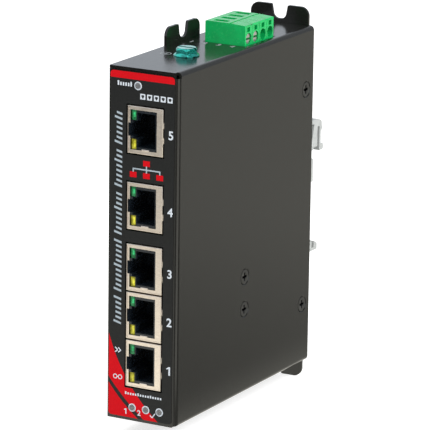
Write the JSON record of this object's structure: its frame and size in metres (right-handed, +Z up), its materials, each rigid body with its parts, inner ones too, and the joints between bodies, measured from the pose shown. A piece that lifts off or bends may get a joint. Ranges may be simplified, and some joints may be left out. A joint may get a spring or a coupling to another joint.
{
  "type": "din rail ethernet switch",
  "caption": "Slim black sheet-metal network switch with a column of modular jacks, a rail clip at the back and a pluggable power terminal on top.",
  "frame": {"origin": "middle of the rail seat at the back of the clip, in the plane of the rail's front face", "axes": "+Z up along the case; the front with its jacks faces -Y, the rail lies along X behind the case at +Y, and the flat left wall faces -X"},
  "size_m": [0.0266, 0.1107, 0.1357],
  "materials": {
    "case_black": "semi-gloss black powder coat",
    "label_black": "matt black film with red, white and grey print",
    "screw_black": "blackened steel",
    "board_green": "solder resist",
    "zinc_steel": "zinc plated",
    "chip_black": "moulded epoxy",
    "can_metal": "drawn can",
    "ferrite_grey": "ferrite",
    "bare_aluminium": "bare",
    "lamp_white": "clear resin",
    "terminal_green": "moulded polyamide",
    "clamp_brass": "plated",
    "tinned_brass": "tin plated",
    "ground_green": "green passivated, glossy",
    "clip_grey": "moulded",
    "shield_tin": "tin plated",
    "insert_black": "moulded",
    "contact_gold": "gold plated",
    "light_green": "clear tinted resin",
    "light_yellow": "clear tinted resin",
    "pipe_clear": "frosted clear polycarbonate",
    "bright_steel": "nickel plated"
  },
  "bodies": {
    "case": {"chassis": "case_black", "cover": "case_black", "front_label": "label_black", "side_screws": "screw_black", "circuit_board": "board_green", "board_standoffs": "zinc_steel", "board_screws": "zinc_steel", "switch_chip": "chip_black", "magnetics": "chip_black", "crystal": "can_metal", "capacitors": "can_metal", "inductor": "ferrite_grey", "regulator": "chip_black", "heat_bracket": "bare_aluminium", "indicator_lamps": "lamp_white", "header_pins": "tinned_brass", "terminal_header": "terminal_green", "ground_screw": "ground_green", "press_nuts": "zinc_steel", "din_clip": "clip_grey", "din_clip_screws": "zinc_steel", "jack_shield_1": "shield_tin", "jack_insert_1": "insert_black", "jack_contacts_1": "contact_gold", "jack_green_light_1": "light_green", "jack_yellow_light_1": "light_yellow", "jack_shield_2": "shield_tin", "jack_insert_2": "insert_black", "jack_contacts_2": "contact_gold", "jack_green_light_2": "light_green", "jack_yellow_light_2": "light_yellow", "jack_shield_3": "shield_tin", "jack_insert_3": "insert_black", "jack_contacts_3": "contact_gold", "jack_green_light_3": "light_green", "jack_yellow_light_3": "light_yellow", "jack_shield_4": "shield_tin", "jack_insert_4": "insert_black", "jack_contacts_4": "contact_gold", "jack_green_light_4": "light_green", "jack_yellow_light_4": "light_yellow", "jack_shield_5": "shield_tin", "jack_insert_5": "insert_black", "jack_contacts_5": "contact_gold", "jack_green_light_5": "light_green", "jack_yellow_light_5": "light_yellow", "light_pipe_status": "pipe_clear", "light_pipe_power_1": "pipe_clear", "light_pipe_power_2": "pipe_clear", "light_pipe_ok": "pipe_clear"},
    "terminal_plug": {"terminal_plug": "terminal_green", "clamp_frames": "clamp_brass"},
    "wire_clamp_1": {"wire_clamp_1": "clamp_brass"},
    "terminal_screw_1": {"terminal_screw_1": "bright_steel"},
    "wire_clamp_2": {"wire_clamp_2": "clamp_brass"},
    "terminal_screw_2": {"terminal_screw_2": "bright_steel"},
    "wire_clamp_3": {"wire_clamp_3": "clamp_brass"},
    "terminal_screw_3": {"terminal_screw_3": "bright_steel"},
    "wire_clamp_4": {"wire_clamp_4": "clamp_brass"},
    "terminal_screw_4": {"terminal_screw_4": "bright_steel"}
  },
  "joints": [
    {"name": "plug_pull", "type": "slide", "parent": "case", "child": "terminal_plug", "axis": [0, 0, 1], "range_m": [0, 0.016]},
    {"name": "wire_clamp_1_travel", "type": "slide", "parent": "terminal_plug", "child": "wire_clamp_1", "axis": [-1, 0, 0], "range_m": [0, 0.0034]},
    {"name": "terminal_screw_1_turn", "type": "hinge", "parent": "wire_clamp_1", "child": "terminal_screw_1", "pos_m": [0.00995, -0.04962, 0.06645], "axis": [-1, 0, 0], "range_deg": [0, 2450]},
    {"name": "wire_clamp_2_travel", "type": "slide", "parent": "terminal_plug", "child": "wire_clamp_2", "axis": [-1, 0, 0], "range_m": [0, 0.0034]},
    {"name": "terminal_screw_2_turn", "type": "hinge", "parent": "wire_clamp_2", "child": "terminal_screw_2", "pos_m": [0.00995, -0.04454, 0.06645], "axis": [-1, 0, 0], "range_deg": [0, 2450]},
    {"name": "wire_clamp_3_travel", "type": "slide", "parent": "terminal_plug", "child": "wire_clamp_3", "axis": [-1, 0, 0], "range_m": [-0.0034, 0]},
    {"name": "terminal_screw_3_turn", "type": "hinge", "parent": "wire_clamp_3", "child": "terminal_screw_3", "pos_m": [0.00995, -0.03946, 0.06645], "axis": [-1, 0, 0], "range_deg": [-2450, 0]},
    {"name": "wire_clamp_4_travel", "type": "slide", "parent": "terminal_plug", "child": "wire_clamp_4", "axis": [-1, 0, 0], "range_m": [-0.0034, 0]},
    {"name": "terminal_screw_4_turn", "type": "hinge", "parent": "wire_clamp_4", "child": "terminal_screw_4", "pos_m": [0.00995, -0.03438, 0.06645], "axis": [-1, 0, 0], "range_deg": [-2450, 0]}
  ],
  "couplings": [
    {"joint": "terminal_screw_1_turn", "follows": "wire_clamp_1_travel", "rad_per_m": 12566},
    {"joint": "terminal_screw_2_turn", "follows": "wire_clamp_2_travel", "rad_per_m": 12566},
    {"joint": "terminal_screw_3_turn", "follows": "wire_clamp_3_travel", "rad_per_m": 12566},
    {"joint": "terminal_screw_4_turn", "follows": "wire_clamp_4_travel", "rad_per_m": 12566}
  ]
}
